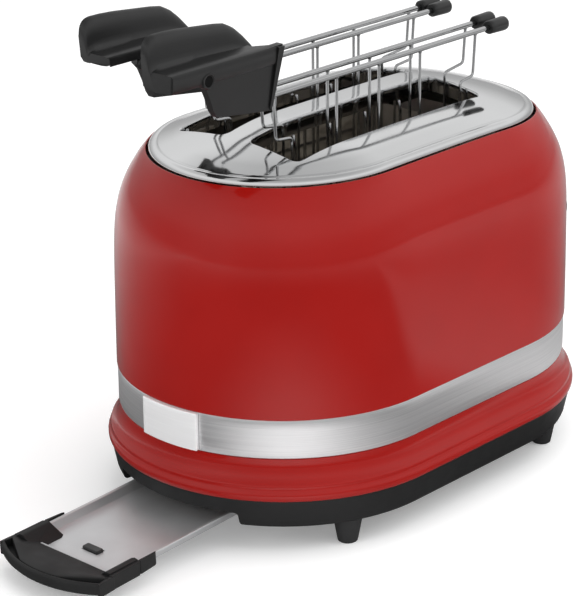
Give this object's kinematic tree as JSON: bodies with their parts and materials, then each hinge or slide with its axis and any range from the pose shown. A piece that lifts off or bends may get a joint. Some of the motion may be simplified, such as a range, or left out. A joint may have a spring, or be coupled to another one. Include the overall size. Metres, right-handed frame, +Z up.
{
  "type": "pop-up toaster",
  "caption": "Oval pop-up toaster with two slots, sandwich tongs standing in them, lift lever, browning knob, push buttons and a slide-out crumb tray.",
  "frame": {"origin": "centre of the bounding box in plan, at the bottom of the feet", "axes": "+X along the case towards the control end, +Y across the case towards the far side, +Z up"},
  "size_m": [0.3949, 0.1908, 0.2734],
  "materials": {
    "red_paint": "gloss",
    "black_plastic": "satin",
    "polished_steel": "polished",
    "brushed_steel": "brushed",
    "plain_steel": "plain",
    "mica": "matte",
    "circuit_board": "matte",
    "copper_winding": "enamelled"
  },
  "bodies": {
    "case": {"outer_shell": "red_paint", "lower_skirt": "red_paint", "steel_band": "brushed_steel", "name_plate": "brushed_steel", "control_panel": "brushed_steel", "top_plate": "polished_steel", "guide_rod": "polished_steel", "top_gasket": "black_plastic", "base_plate": "black_plastic", "cord_inlet": "black_plastic", "foot_near_left": "black_plastic", "foot_near_right": "black_plastic", "foot_far_left": "black_plastic", "foot_far_right": "black_plastic", "browning_control": "black_plastic", "chassis_left": "plain_steel", "chassis_right": "plain_steel", "reflector_near": "plain_steel", "reflector_far": "plain_steel", "guard_near_outer": "plain_steel", "guard_near_inner": "plain_steel", "guard_far_inner": "plain_steel", "guard_far_outer": "plain_steel", "lift_spring": "plain_steel", "control_frame": "plain_steel", "tray_rail_near": "plain_steel", "tray_rail_far": "plain_steel", "heater_near_outer": "mica", "heater_near_inner": "mica", "heater_far_inner": "mica", "heater_far_outer": "mica", "control_board": "circuit_board", "electromagnet": "copper_winding"},
    "carriage": {"carriage": "plain_steel", "bread_rack_near": "plain_steel", "bread_rack_far": "plain_steel", "lever_arm": "plain_steel", "lever_knob": "black_plastic"},
    "browning_knob": {"browning_knob": "black_plastic"},
    "cancel_button": {"cancel_button": "black_plastic"},
    "defrost_button": {"defrost_button": "black_plastic"},
    "reheat_button": {"reheat_button": "black_plastic"},
    "crumb_tray": {"crumb_tray": "plain_steel", "tray_handle": "black_plastic"},
    "tong_near": {"tong_near_cage_front": "polished_steel", "tong_near_grip_front": "black_plastic", "tong_near_cap_front": "black_plastic", "tong_near_hinge_pin": "plain_steel"},
    "tong_near_jaw": {"tong_near_cage_rear": "polished_steel", "tong_near_grip_rear": "black_plastic", "tong_near_cap_rear": "black_plastic"},
    "tong_far": {"tong_far_cage_front": "polished_steel", "tong_far_grip_front": "black_plastic", "tong_far_cap_front": "black_plastic", "tong_far_hinge_pin": "plain_steel"},
    "tong_far_jaw": {"tong_far_cage_rear": "polished_steel", "tong_far_grip_rear": "black_plastic", "tong_far_cap_rear": "black_plastic"}
  },
  "joints": [
    {"name": "lever_slide", "type": "slide", "parent": "case", "child": "carriage", "axis": [0, 0, -1], "range_m": [0, 0.04], "stiffness_N_per_m": 80, "springref_m": -0.06, "deforming": ["lift_spring"]},
    {"name": "browning_turn", "type": "hinge", "parent": "case", "child": "browning_knob", "pos_m": [0.1836, -0.024, 0.112], "axis": [1, 0, 0], "range_deg": [0, 270]},
    {"name": "tray_slide", "type": "slide", "parent": "case", "child": "crumb_tray", "axis": [0.999, 0, 0.0436], "range_m": [-0.06, 0.09]},
    {"name": "cancel_press", "type": "slide", "parent": "case", "child": "cancel_button", "axis": [-1, 0, 0], "range_m": [0, 0.0025], "stiffness_N_per_m": 250, "springref_m": -0.002},
    {"name": "defrost_press", "type": "slide", "parent": "case", "child": "defrost_button", "axis": [-1, 0, 0], "range_m": [0, 0.0025], "stiffness_N_per_m": 250, "springref_m": -0.002},
    {"name": "reheat_press", "type": "slide", "parent": "case", "child": "reheat_button", "axis": [-1, 0, 0], "range_m": [0, 0.0025], "stiffness_N_per_m": 250, "springref_m": -0.002},
    {"name": "tong_near_lift", "type": "slide", "parent": "case", "child": "tong_near", "axis": [0, 0, 1], "range_m": [0, 0.16]},
    {"name": "tong_near_squeeze", "type": "hinge", "parent": "tong_near", "child": "tong_near_jaw", "pos_m": [-0.0814, -0.024, 0.2465], "axis": [1, 0, 0], "range_deg": [0, 2.5], "stiffness_Nm_per_rad": 1.5, "springref_deg": -11.46},
    {"name": "tong_far_lift", "type": "slide", "parent": "case", "child": "tong_far", "axis": [0, 0, 1], "range_m": [0, 0.16]},
    {"name": "tong_far_squeeze", "type": "hinge", "parent": "tong_far", "child": "tong_far_jaw", "pos_m": [-0.077, 0.023, 0.2465], "axis": [1, 0, 0], "range_deg": [0, 2.5], "stiffness_Nm_per_rad": 1.5, "springref_deg": -11.46}
  ]
}
